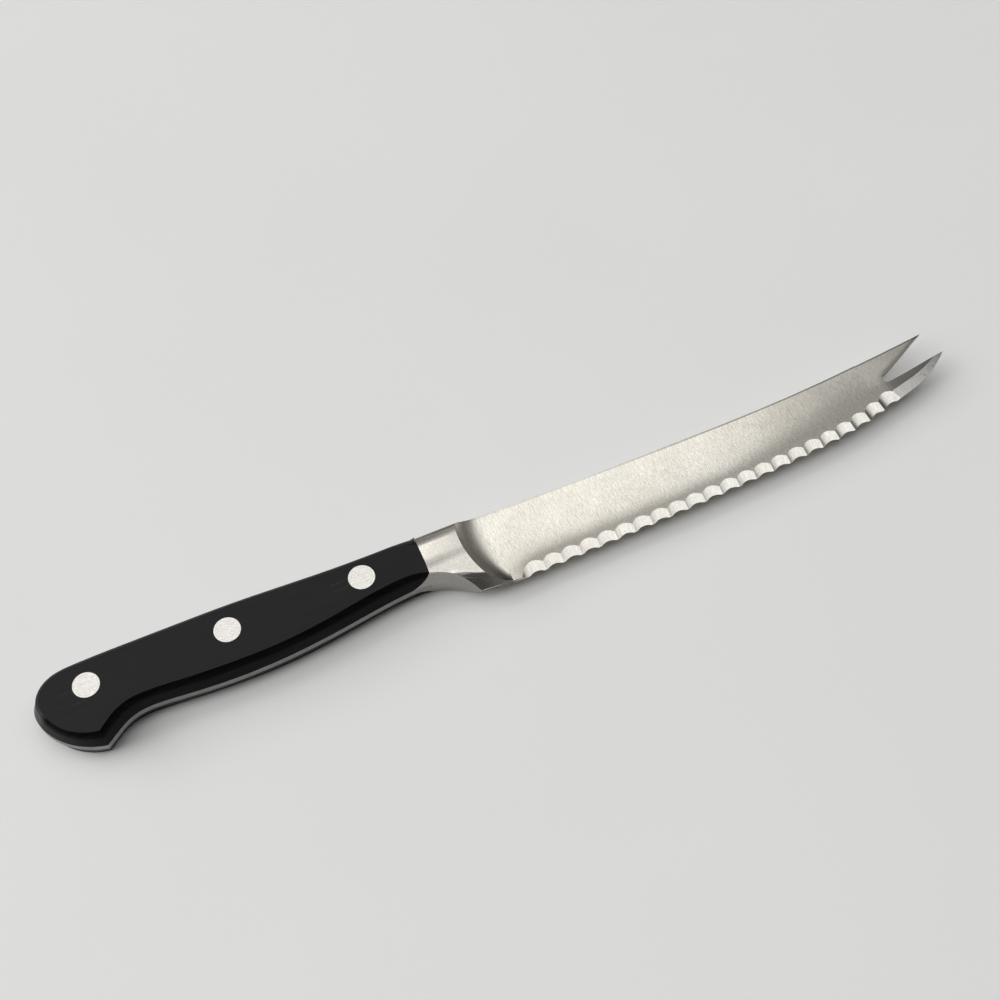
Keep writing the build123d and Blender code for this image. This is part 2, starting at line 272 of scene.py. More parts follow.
class SurfaceEffects:
    """The shader groups that several finishes share."""

    NOISE_SPAN = (0.3, 0.7)  # the values that a noise mostly takes
    TONE_OFFSET = (31.7, 11.3, 5.9)  # lays the streaks apart from the lines' heights
    TIP_WIDENS = (130.0 * MM, 182.0 * MM)  # where the fall at the edge reaches further up
    FALL_STARTS = (69.0 * MM, 80.0 * MM)  # where the fall at the edge sets in past the ramp
    FALL_AT_RAMP = 0.25
    LEVEL_BAND = 3.0 * MM  # higher than this over the edge, the flank bends towards the back
    # Where the painted shade along the back and by the notch fades in and deepens
    RIM_FADES = (0.6, 1.3)  # in rim widths from the back
    RIM_DARKENS = (85.0 * MM, 150.0 * MM)
    PRONG_FADES = (0.1 * MM, 1.6 * MM)
    PRONG_STARTS = (180.5 * MM, 185.0 * MM)
    RUBS_SHOW = (0.6, 0.74)
    RUBBED_PLACES = (0.5, 0.7)
    RUBBED_PLACES_PER_METRE = 60.0

    def __init__(self) -> None:
        """Builds each group once."""
        self.grinding = self._grinding()
        self.rubbing = self._rubbing()
        self.mottle = self._mottle()
        self.ridge = self._ridge()
        self.crown = self._crown()
        self.painted_rim_shade = self._painted_rim_shade()

    @classmethod
    def _grinding(cls) -> bpy.types.NodeTree:
        """Fine straight grinding lines, long one way and narrow the other.

        Returns:
            The group: a Height and a Streak between 0 and 1.
        """
        group = new_group(
            "grinding_lines",
            [("Vector", "NodeSocketVector", None), ("Lines Per Metre", "NodeSocketFloat", 6000.0),
             ("Length Share", "NodeSocketFloat", 0.02)],
            [("Height", "NodeSocketFloat"), ("Streak", "NodeSocketFloat")],
        )
        sheet = NodeSheet(group)
        entry, end = group.nodes["Group Input"].outputs, group.nodes["Group Output"].inputs
        long_rate = sheet.times(entry["Lines Per Metre"], entry["Length Share"])
        place = sheet.stretched(entry["Vector"], (entry["Lines Per Metre"], long_rate, long_rate))
        sheet.join(sheet.noise(place, scale=1.0, detail=2.0, roughness=0.6), end["Height"])
        offset = sheet.add("ShaderNodeVectorMath", operation="ADD")
        sheet.join(place, offset.inputs[0])
        offset.inputs[1].default_value = cls.TONE_OFFSET
        tone = sheet.noise(offset.outputs[0], scale=0.9, detail=3.0, roughness=0.7)
        sheet.join(sheet.spread(tone, *cls.NOISE_SPAN, 0.0, 1.0), end["Streak"])
        return group

    @staticmethod
    def _ridge() -> bpy.types.NodeTree:
        """The rounding of a shallow ridge, as buffing leaves it.

        Returns:
            The group: a Height in metres, lowest on the ridge's line.
        """
        group = new_group(
            "buffed_ridge",
            [("Place", "NodeSocketFloat", 0.0), ("Ridge At", "NodeSocketFloat", 0.0),
             ("Half Width", "NodeSocketFloat", 0.0015), ("Slope Change", "NodeSocketFloat", 0.1)],
            [("Height", "NodeSocketFloat")],
        )
        sheet = NodeSheet(group)
        entry, end = group.nodes["Group Input"].outputs, group.nodes["Group Output"].inputs
        away = sheet.maths("ABSOLUTE", sheet.minus(entry["Place"], entry["Ridge At"]))
        inside = sheet.maths("MAXIMUM", sheet.minus(entry["Half Width"], away), 0.0)
        square = sheet.times(inside, inside)
        # Two parabolas that meet on the ridge's line, each with half of the slope's change.
        reach = sheet.maths("DIVIDE", square, sheet.times(entry["Half Width"], -4.0))
        sheet.join(sheet.times(reach, entry["Slope Change"]), end["Height"])
        return group

    @classmethod
    def _crown(cls) -> bpy.types.NodeTree:
        """The flank's slight fullness: it falls away towards the toothed edge and the back.

        Returns:
            The group: a Height in metres.
        """
        group = new_group(
            "flank_crown",
            [("Vector", "NodeSocketVector", None), ("Edge Slope", "NodeSocketFloat", 0.085),
             ("Edge Reach", "NodeSocketFloat", 0.0022), ("Tip Reach", "NodeSocketFloat", 0.0092),
             ("Back Slope", "NodeSocketFloat", 0.0019)],
            [("Height", "NodeSocketFloat")],
        )
        sheet = NodeSheet(group)
        entry, end = group.nodes["Group Input"].outputs, group.nodes["Group Output"].inputs
        parts = sheet.axes(entry["Vector"])
        above = sheet.minus(parts["Y"], outline(sheet, parts["X"], EDGE_LINE))
        below = sheet.maths("MINIMUM", above, 0.0)
        tip_share = sheet.spread(parts["X"], *cls.TIP_WIDENS, 0.0, 1.0)
        more = sheet.minus(entry["Tip Reach"], entry["Edge Reach"])
        reach = sheet.plus(entry["Edge Reach"], sheet.times(tip_share, more))
        share = sheet.maths("DIVIDE", sheet.maths("MAXIMUM", above, 0.0), reach)
        fall = sheet.maths("POWER", math.e, sheet.times(share, -1.0))
        span = sheet.minus(below, sheet.times(fall, reach))
        toothed = sheet.spread(parts["X"], *cls.FALL_STARTS, cls.FALL_AT_RAMP, 1.0)
        drop = sheet.times(span, sheet.times(entry["Edge Slope"], toothed))
        upper = sheet.maths("MAXIMUM", sheet.minus(above, cls.LEVEL_BAND), 0.0)
        # Back Slope is the slope's change over each millimetre, and half of it bends a parabola.
        bend = sheet.times(entry["Back Slope"], -0.5 / MM)
        curve = sheet.times(sheet.times(upper, upper), bend)
        sheet.join(sheet.plus(drop, curve), end["Height"])
        return group

    @classmethod
    def _painted_rim_shade(cls) -> bpy.types.NodeTree:
        """Painted shade: the steel's colour made darker along the blade's back and around the fork's notch.

        Returns:
            The group: a Share of the steel's brightness.
        """
        group = new_group(
            "painted_shade_rims",
            [("Vector", "NodeSocketVector", None), ("Back Reach", "NodeSocketFloat", 0.00045),
             ("Heel Share", "NodeSocketFloat", 0.82), ("Tip Share", "NodeSocketFloat", 0.42),
             ("Prong Share", "NodeSocketFloat", 0.55)],
            [("Share", "NodeSocketFloat")],
        )
        sheet = NodeSheet(group)
        entry, end = group.nodes["Group Input"].outputs, group.nodes["Group Output"].inputs
        parts = sheet.axes(entry["Vector"])
        inward = sheet.minus(outline(sheet, parts["X"], BACK_LINE), parts["Y"])
        rim = sheet.spread(sheet.maths("DIVIDE", inward, entry["Back Reach"]), *cls.RIM_FADES, 1.0, 0.0)
        tip = sheet.spread(parts["X"], *cls.RIM_DARKENS, 0.0, 1.0)
        heel_loss = sheet.times(sheet.minus(1.0, tip), sheet.minus(1.0, entry["Heel Share"]))
        tip_loss = sheet.times(tip, sheet.minus(1.0, entry["Tip Share"]))
        back = sheet.minus(1.0, sheet.times(rim, sheet.plus(heel_loss, tip_loss)))
        over = sheet.minus(parts["Y"], outline(sheet, parts["X"], NOTCH_LINE))
        near = sheet.spread(over, *cls.PRONG_FADES, 1.0, 0.0)
        forked = sheet.times(near, sheet.spread(parts["X"], *cls.PRONG_STARTS, 0.0, 1.0))
        prong = sheet.minus(1.0, sheet.times(forked, sheet.minus(1.0, entry["Prong Share"])))
        sheet.join(sheet.times(back, prong), end["Share"])
        return group

    @classmethod
    def _rubbing(cls) -> bpy.types.NodeTree:
        """Sparse faint rub marks that use leaves on a surface.

        Returns:
            The group: a Mark mask between 0 and 1.
        """
        group = new_group(
            "rub_marks",
            [("Vector", "NodeSocketVector", None), ("Marks Per Metre", "NodeSocketFloat", 900.0),
             ("Length Share", "NodeSocketFloat", 0.08), ("Amount", "NodeSocketFloat", 0.5)],
            [("Mark", "NodeSocketFloat")],
        )
        sheet = NodeSheet(group)
        entry, end = group.nodes["Group Input"].outputs, group.nodes["Group Output"].inputs
        rate = entry["Marks Per Metre"]
        place = sheet.stretched(entry["Vector"], (sheet.times(rate, entry["Length Share"]), rate, rate))
        lines = sheet.noise(place, scale=1.0, detail=4.0)
        patches = sheet.noise(entry["Vector"], cls.RUBBED_PLACES_PER_METRE, detail=1.0)
        thin = sheet.spread(lines, *cls.RUBS_SHOW, 0.0, 1.0)
        mark = sheet.times(thin, sheet.spread(patches, *cls.RUBBED_PLACES, 0.0, 1.0))
        sheet.join(sheet.maths("MULTIPLY", mark, entry["Amount"], clamp=True), end["Mark"])
        return group

    @classmethod
    def _mottle(cls) -> bpy.types.NodeTree:
        """Soft uneven patches, as of handling and light polish.

        Returns:
            The group: a Patch value between 0 and 1.
        """
        group = new_group(
            "soft_mottle",
            [("Vector", "NodeSocketVector", None), ("Patches Per Metre", "NodeSocketFloat", 80.0)],
            [("Patch", "NodeSocketFloat")],
        )
        sheet = NodeSheet(group)
        entry, end = group.nodes["Group Input"].outputs, group.nodes["Group Output"].inputs
        noise = sheet.noise(entry["Vector"], entry["Patches Per Metre"], detail=2.0)
        sheet.join(sheet.spread(noise, *cls.NOISE_SPAN, 0.0, 1.0), end["Patch"])
        return group


class Finish:
    """A surface material: a Principled shader with its place on the object and its effects."""

    def __init__(self, name: str, effects: SurfaceEffects) -> None:
        """Makes the material and its shader node."""
        self.material = bpy.data.materials.new(name)
        self.material.use_nodes = True
        self.sheet = NodeSheet(self.material.node_tree)
        self.effects = effects
        self.shader = self.material.node_tree.nodes["Principled BSDF"]
        self.place = self.sheet.add("ShaderNodeTexCoord").outputs["Object"]

    def group(self, tree: bpy.types.NodeTree, vector: Socket | None = None,
              **values: float) -> bpy.types.Node:
        """Places a shared effect in the material.

        Args:
            tree: the effect's group.
            vector: where it is laid; the object's own coordinates if left out.
            values: the group's inputs, with underscores for spaces.

        Returns:
            The group node.
        """
        node = self.sheet.add("ShaderNodeGroup", node_tree=tree)
        self.sheet.join(vector or self.place, node.inputs["Vector"])
        for name, value in values.items():
            node.inputs[name.replace("_", " ").title()].default_value = value
        return node

    def lines(self, per_metre: float, length_share: float, turn: float = 0.0) -> bpy.types.NodeOutputs:
        """Adds grinding lines and returns their Height and Streak.

        Args:
            per_metre: how many lines there are across a metre.
            length_share: a line's width as a share of its length.
            turn: how far the lines are turned about the knife's thickness, in degrees.

        Returns:
            The group node's outputs.
        """
        return self.group(self.effects.grinding, self.turned(turn), lines_per_metre=per_metre,
                          length_share=length_share).outputs

    def marks(self, per_metre: float, length_share: float, amount: float) -> Socket:
        """Adds rub marks and returns their mask."""
        return self.group(self.effects.rubbing, marks_per_metre=per_metre, length_share=length_share,
                          amount=amount).outputs["Mark"]

    def patches(self, per_metre: float) -> Socket:
        """Adds soft patches and returns their value between 0 and 1."""
        return self.group(self.effects.mottle, patches_per_metre=per_metre).outputs["Patch"]

    def turned(self, degrees_z: float) -> Socket:
        """Returns the object's coordinates turned about the knife's thickness."""
        if degrees_z == 0.0:
            return self.place
        mapping = self.sheet.add("ShaderNodeMapping")
        self.sheet.join(self.place, mapping.inputs["Vector"])
        mapping.inputs["Rotation"].default_value = (0.0, 0.0, math.radians(degrees_z))
        return mapping.outputs["Vector"]

    def set(self, **values: object) -> None:
        """Sets or feeds the shader's sockets, with underscores for spaces."""
        for name, value in values.items():
            self.sheet.feed(self.shader.inputs[name.replace("_", " ")], value)

    def weighed(self, *parts: tuple[Socket, float]) -> Socket:
        """Adds up some values, each times its share."""
        total = self.sheet.times(*parts[0])
        for value, share in parts[1:]:
            total = self.sheet.plus(total, self.sheet.times(value, share))
        return total

    def between(self, share: Socket, first: Colour, second: Colour) -> Socket:
        """Mixes two plain colours by a share."""
        return self.sheet.tint(share, (*first, 1.0), (*second, 1.0))

    def shaded(self, colour: Socket, share: Socket) -> Socket:
        """Returns a colour made darker by a share between 0 and 1."""
        grey = self.sheet.add("ShaderNodeCombineColor")
        for index in range(3):
            self.sheet.join(share, grey.inputs[index])
        return self.sheet.tint(1.0, colour, grey.outputs[0], "MULTIPLY")

    def raise_by(self, *heights: Socket) -> None:
        """Feeds the sum of some heights in metres to the shader's normal."""
        total = heights[0]
        for height in heights[1:]:
            total = self.sheet.plus(total, height)
        bump = self.sheet.add("ShaderNodeBump")
        bump.inputs["Strength"].default_value = 1.0
        bump.inputs["Distance"].default_value = 1.0
        self.sheet.join(total, bump.inputs["Height"])
        self.sheet.join(bump.outputs[0], self.shader.inputs["Normal"])


@dataclass(frozen=True)
class GroundSteel:
    """Stainless steel ground with straight lines."""

    name: str
    bright: Colour = (0.890, 0.858, 0.785)
    dull: Colour = (0.560, 0.532, 0.462)
    warmth: Colour = (1.0, 0.988, 0.975)
    roughness: float = 0.2
    roughness_swing: float = 0.04
    lines_per_metre: float = 4200.0
    length_share: float = 0.12
    turn: float = 0.0
    depth: float = 0.003 * MM
    streak_share: float = 0.5
    speckle_share: float = 0.35
    patch_share: float = 0.15
    speckles_per_line: float = 0.8
    patches_per_metre: float = 110.0
    warm_patches_per_metre: float = 38.0
    crowned: bool = False
    ramp_foot: Span = (64.0 * MM, 70.0 * MM)
    ramp_roughness: float = 0.3
    pitted: bool = False
    pits_per_metre: float = 900.0
    pit_amount: float = 4.0
    pit_shade: float = 0.7

    def make(self, effects: SurfaceEffects) -> bpy.types.Material:
        """Builds the material."""
        finish = Finish(self.name, effects)
        sheet = finish.sheet
        lines = finish.lines(self.lines_per_metre, self.length_share, self.turn)
        speckle = finish.patches(self.lines_per_metre * self.speckles_per_line)
        patch = finish.patches(self.patches_per_metre)
        tone = finish.weighed((lines["Streak"], self.streak_share), (speckle, self.speckle_share),
                              (patch, self.patch_share))
        steel = finish.between(tone, self.bright, self.dull)
        warm = finish.patches(self.warm_patches_per_metre)
        steel = sheet.tint(warm, steel, (*self.warmth, 1.0), "MULTIPLY")
        rough = sheet.plus(sheet.times(tone, self.roughness_swing), self.roughness - self.roughness_swing / 2)
        heights = [sheet.times(lines["Height"], self.depth)]
        if self.crowned:
            heights.append(finish.group(effects.crown).outputs["Height"])
            # Painted shade: the flank's colour is darkened along the back and on the prong by the notch.
            steel = finish.shaded(steel, finish.group(effects.painted_rim_shade).outputs["Share"])
            place_x = sheet.axes(finish.place)["X"]
            rough = sheet.plus(rough, sheet.spread(place_x, *self.ramp_foot, self.ramp_roughness, 0.0))
        if self.pitted:
            pits = finish.marks(self.pits_per_metre, 1.0, self.pit_amount)
            steel = finish.shaded(steel, sheet.minus(1.0, sheet.times(pits, self.pit_shade)))
        finish.set(Base_Color=steel, Metallic=1.0, Roughness=rough)
        finish.raise_by(*heights)
        return finish.material


@dataclass(frozen=True)
class BuffedSteel:
    """Stainless steel buffed to a soft satin, with its ridge rounded by the buffing and shade painted towards
    the spine and along the ridge.
    """

    name: str
    bright: Colour = (1.000, 0.965, 0.885)
    dull: Colour = (0.660, 0.632, 0.565)
    roughness: float = 0.25
    roughness_swing: float = 0.04
    lines_per_metre: float = 4200.0
    length_share: float = 0.8
    depth: float = 0.003 * MM
    streak_share: float = 0.4
    speckle_share: float = 0.45
    patch_share: float = 0.15
    speckles_per_metre: float = 2900.0
    patches_per_metre: float = 180.0
    marks_per_metre: float = 1500.0
    mark_length_share: float = 0.1
    mark_amount: float = 0.6
    mark_roughness: float = 0.08
    # Spans and shares of the painted shade towards the spine, on its outer rim and along the ridge
    spine_span: Span = (1.6 * MM, 3.4 * MM)
    spine_shade: float = 0.92
    rim_span: Span = (4.0 * MM, 4.8 * MM)
    rim_shade: float = 0.16
    ramp_span: Span = (52.0 * MM, 63.0 * MM)
    ramp_roughness: float = 0.12
    ridge_at: float = -3.1 * MM
    ridge_reach: float = 1.8 * MM
    ridge_slope: float = 0.16
    ridge_shade: float = 0.72

    def make(self, effects: SurfaceEffects) -> bpy.types.Material:
        """Builds the material."""
        finish = Finish(self.name, effects)
        sheet = finish.sheet
        lines = finish.lines(self.lines_per_metre, self.length_share)
        speckle = finish.patches(self.speckles_per_metre)
        patch = finish.patches(self.patches_per_metre)
        tone = finish.weighed((lines["Streak"], self.streak_share), (speckle, self.speckle_share),
                              (patch, self.patch_share))
        parts = sheet.axes(finish.place)
        # Painted shade: the colour is darkened towards the spine, most on its outer rim, and in a band along
        # the ridge.
        spine = sheet.spread(parts["Y"], *self.spine_span, 1.0, self.spine_shade)
        rim = sheet.spread(parts["Y"], *self.rim_span, 1.0, self.rim_shade)
        off_ridge = sheet.maths("ABSOLUTE", sheet.minus(parts["Y"], self.ridge_at))
        ridge_painted_shade = sheet.spread(off_ridge, 0.0, self.ridge_reach, self.ridge_shade, 1.0)
        dark = sheet.times(sheet.times(spine, rim), ridge_painted_shade)
        steel = finish.between(tone, self.bright, self.dull)
        finish.set(Base_Color=finish.shaded(steel, dark), Metallic=1.0)
        rough = sheet.plus(sheet.times(patch, self.roughness_swing), self.roughness)
        rough = sheet.plus(rough, sheet.spread(parts["X"], *self.ramp_span, 0.0, self.ramp_roughness))
        marks = finish.marks(self.marks_per_metre, self.mark_length_share, self.mark_amount)
        finish.set(Roughness=sheet.plus(rough, sheet.times(marks, self.mark_roughness)))
        ridge = sheet.add("ShaderNodeGroup", node_tree=effects.ridge)
        sheet.join(parts["Y"], ridge.inputs["Place"])
        ridge.inputs["Ridge At"].default_value = self.ridge_at
        ridge.inputs["Half Width"].default_value = self.ridge_reach
        ridge.inputs["Slope Change"].default_value = self.ridge_slope
        finish.raise_by(sheet.times(lines["Height"], self.depth), ridge.outputs["Height"])
        return finish.material


@dataclass(frozen=True)
class HandlePlastic:
    """Dense near-black plastic with a fine satin and lengthwise rub marks."""

    name: str
    colour: Colour = (0.0022, 0.0022, 0.0023)
    streaked: Colour = (0.0060, 0.0060, 0.0060)
    rubbed: Colour = (0.030, 0.030, 0.029)
    rub_strength: float = 0.8
    rub_gloss: float = 0.1
    marks_per_metre: float = 1400.0
    mark_length_share: float = 0.06
    mark_amount: float = 0.8
    lines_per_metre: float = 2200.0
    length_share: float = 0.03
    patches_per_metre: float = 45.0
    grains_per_metre: float = 2600.0
    grain_depth: float = 0.006 * MM
    roughness: float = 0.36
    roughness_swing: float = 0.05
    specular: float = 0.28
    # Lower reflection on the sides and at the crease, towards the lower edge: painted shade
    side_specular: float = 0.28
    crease_specular: float = 0.28
    crease_span: Span = (3.0 * MM, 4.2 * MM)  # outward from the middle plane
    lower_span: Span = (-5.2 * MM, -2.5 * MM)

    def make(self, effects: SurfaceEffects) -> bpy.types.Material:
        """Builds the material."""
        finish = Finish(self.name, effects)
        sheet = finish.sheet
        marks = finish.marks(self.marks_per_metre, self.mark_length_share, self.mark_amount)
        streak = finish.lines(self.lines_per_metre, self.length_share, turn=90.0)["Streak"]
        plain = finish.between(streak, self.colour, self.streaked)
        rubs = sheet.times(marks, self.rub_strength)
        finish.set(Base_Color=sheet.tint(rubs, plain, (*self.rubbed, 1.0)))
        parts = sheet.axes(finish.place)
        # Painted shade: towards the lower edge the sides lose most of their reflection, nearly all of it at
        # the crease with the face.
        outward = sheet.maths("ABSOLUTE", sheet.minus(parts["Z"], MID_HEIGHT))
        hidden = sheet.spread(outward, *self.crease_span, self.specular - self.side_specular,
                              self.specular - self.crease_specular)
        lower = sheet.spread(parts["Y"], *self.lower_span, 1.0, 0.0)
        finish.set(Specular_IOR_Level=sheet.minus(self.specular, sheet.times(hidden, lower)))
        patch = finish.patches(self.patches_per_metre)
        rough = sheet.plus(sheet.times(patch, self.roughness_swing), self.roughness)
        rough = sheet.plus(rough, sheet.times(streak, self.roughness_swing))
        finish.set(Roughness=sheet.minus(rough, sheet.times(marks, self.rub_gloss)))
        grain = sheet.noise(finish.place, self.grains_per_metre, detail=2.0)
        finish.raise_by(sheet.times(grain, self.grain_depth))
        return finish.material


@dataclass(frozen=True)
class RivetMetal:
    """Bright alloy, ground flush with the scale."""

    name: str
    bright: Colour = (0.980, 0.955, 0.905)
    dull: Colour = (0.690, 0.667, 0.620)
    lines_per_metre: float = 3000.0
    length_share: float = 0.12
    depth: float = 0.006 * MM
    patches_per_metre: float = 2700.0
    streak_share: float = 0.4
    patch_share: float = 0.6
    roughness: float = 0.28
    roughness_swing: float = 0.08

    def make(self, effects: SurfaceEffects) -> bpy.types.Material:
        """Builds the material."""
        finish = Finish(self.name, effects)
        sheet = finish.sheet
        lines = finish.lines(self.lines_per_metre, self.length_share, turn=90.0)
        patch = finish.patches(self.patches_per_metre)
        tone = finish.weighed((lines["Streak"], self.streak_share), (patch, self.patch_share))
        finish.set(Base_Color=finish.between(tone, self.bright, self.dull), Metallic=1.0)
        finish.set(Roughness=sheet.plus(sheet.times(patch, self.roughness_swing), self.roughness))
        finish.raise_by(sheet.times(lines["Height"], self.depth))
        return finish.material


@dataclass(frozen=True)
class TableTop:
    """A pale smooth table with a barely seen unevenness."""

    name: str
    colour: Colour = (0.86, 0.86, 0.85)
    shade: float = 0.985
    patches_per_metre: float = 9.0
    roughness: float = 0.6
    specular: float = 0.2

    def make(self, effects: SurfaceEffects) -> bpy.types.Material:
        """Builds the material."""
        finish = Finish(self.name, effects)
        red, green, blue = self.colour
        darker = (self.shade * red, self.shade * green, self.shade * blue)
        mixed = finish.between(finish.patches(self.patches_per_metre), self.colour, darker)
        finish.set(Base_Color=mixed, Roughness=self.roughness, Specular_IOR_Level=self.specular)
        return finish.material


class Bench:
    """Mesh work on a single piece with Blender's own tools."""

    MERGE_WITHIN = 0.0005 * MM
    SMOOTH_ANGLE = 60.0
    ON_SOLID = 0.001 * MM  # a face whose centre is this near the solid lies on it
    SAME_NORMAL = 0.998  # if its normal also has at least this dot product with the solid's
    INWARD = 0.02  # a corner is looked up a little inside its face
    LEAST_LENGTH = 0.5  # a shorter mix of normals says nothing
    LEAST_DOT = 0.6  # nor does one that leaves the face's normal this far

    @staticmethod
    def clear_selection() -> None:
        """Deselects every object."""
        if bpy.context.object and bpy.context.object.mode != "OBJECT":
            bpy.ops.object.mode_set(mode="OBJECT")
        bpy.ops.object.select_all(action="DESELECT")

    @classmethod
    def hold(cls, piece: bpy.types.Object) -> None:
        """Selects one piece alone and makes it the active one."""
        cls.clear_selection()
        piece.select_set(True)
        bpy.context.view_layer.objects.active = piece

    @classmethod
    def from_solid(cls, solid: bpy.types.Object, name: str) -> bpy.types.Object:
        """Copies a solid's mesh as the start of a piece, with its loose triangles merged.

        The solid's exact surface normals stay, and its creases become sharp edges.

        Args:
            solid: the CAD node's object.
            name: the new piece's name.

        Returns:
            The new piece.
        """
        piece = bpy.data.objects.new(name, solid.data.copy())
        bpy.context.scene.collection.objects.link(piece)
        piece.data.materials.clear()
        cls.hold(piece)
        bpy.ops.object.mode_set(mode="EDIT")
        bpy.ops.mesh.select_all(action="SELECT")
        bpy.ops.mesh.remove_doubles(threshold=cls.MERGE_WITHIN, use_sharp_edge_from_normals=True)
        bpy.ops.object.mode_set(mode="OBJECT")
        return piece

    @classmethod
    def round_edges(cls, piece: bpy.types.Object, width: float, angle: float, segments: int,
                    keep: Callable[[Vector], bool] = lambda middle: True) -> None:
        """Rounds some sharp edges.

        Args:
            piece: the piece.
            width: how far each rounding reaches, in metres.
            angle: only edges sharper than this are rounded, in degrees.
            segments: steps across each rounding.
            keep: takes an edge's middle and tells whether the edge counts.
        """
        cls.hold(piece)
        bpy.ops.object.mode_set(mode="EDIT")
        bpy.ops.mesh.select_mode(type="EDGE")
        bpy.ops.mesh.select_all(action="DESELECT")
        bpy.ops.mesh.edges_select_sharp(sharpness=math.radians(angle))
        bpy.ops.object.mode_set(mode="OBJECT")
        mesh = piece.data
        weights = mesh.attributes.get("bevel_weight_edge")
        if weights is None:
            weights = mesh.attributes.new("bevel_weight_edge", "FLOAT", "EDGE")
        for edge in mesh.edges:
            first, second = (mesh.vertices[index].co for index in edge.vertices)
            weights.data[edge.index].value = 1.0 if edge.select and keep((first + second) / 2) else 0.0
        rounding = piece.modifiers.new("soft_edges", "BEVEL")
        rounding.width = width
        rounding.segments = segments
        rounding.limit_method = "WEIGHT"
        rounding.miter_outer = "MITER_ARC"
        rounding.use_clamp_overlap = True
        bpy.ops.object.modifier_apply(modifier=rounding.name)

    @classmethod
    def exact_normals(cls, piece: bpy.types.Object, solid: bpy.types.Object) -> None:
        """Shades the piece with the solid's own surface normals and blends them across the roundings.

        Args:
            piece: the piece with rounded edges.
            solid: the CAD node's object.
        """
        cls.hold(piece)
        bpy.ops.object.shade_smooth_by_angle(angle=math.radians(cls.SMOOTH_ANGLE))
        source, mesh = solid.data, piece.data
        tree = BVHTree.FromPolygons([vertex.co for vertex in source.vertices],
                                    [tuple(face.vertices) for face in source.polygons])
        normals = [Vector(corner.vector) for corner in mesh.corner_normals]
        at_vertex: dict[int, list[Vector]] = {}
        rounded = []
        for face in mesh.polygons:
            _, normal, _, distance = tree.find_nearest(face.center)
            if distance > cls.ON_SOLID or normal.dot(face.normal) < cls.SAME_NORMAL:
                rounded.append(face)
                continue
            for corner in face.loop_indices:
                vertex = mesh.loops[corner].vertex_index
                inside = mesh.vertices[vertex].co.lerp(face.center, cls.INWARD)
                hit, _, index, _ = tree.find_nearest(inside)
                triangle = source.polygons[index]
                shares = poly_3d_calc([source.vertices[v].co for v in triangle.vertices], hit)
                total = Vector((0.0, 0.0, 0.0))
                for share, loop in zip(shares, triangle.loop_indices):
                    total += share * source.corner_normals[loop].vector
                if total.length > cls.LEAST_LENGTH and total.normalized().dot(face.normal) > cls.LEAST_DOT:
                    normals[corner] = total.normalized()
                at_vertex.setdefault(vertex, []).append(normals[corner])
        for face in rounded:
            for corner in face.loop_indices:
                near = at_vertex.get(mesh.loops[corner].vertex_index)
                if near:
                    normals[corner] = max(near, key=face.normal.dot)
        mesh.normals_split_custom_set(normals)

    @classmethod
    def paint(cls, piece: bpy.types.Object, materials: Sequence[bpy.types.Material],
              choose: Callable[[Vector, Vector], Enum]) -> None:
        """Gives each face one of the piece's materials by its place and its normal.

        Args:
            piece: the piece to paint.
            materials: the materials, in the order of the regions.
            choose: takes a face's centre and normal and returns its region.
        """
        for material in materials:
            piece.data.materials.append(material)
        for face in piece.data.polygons:
            face.material_index = choose(face.center, face.normal).value


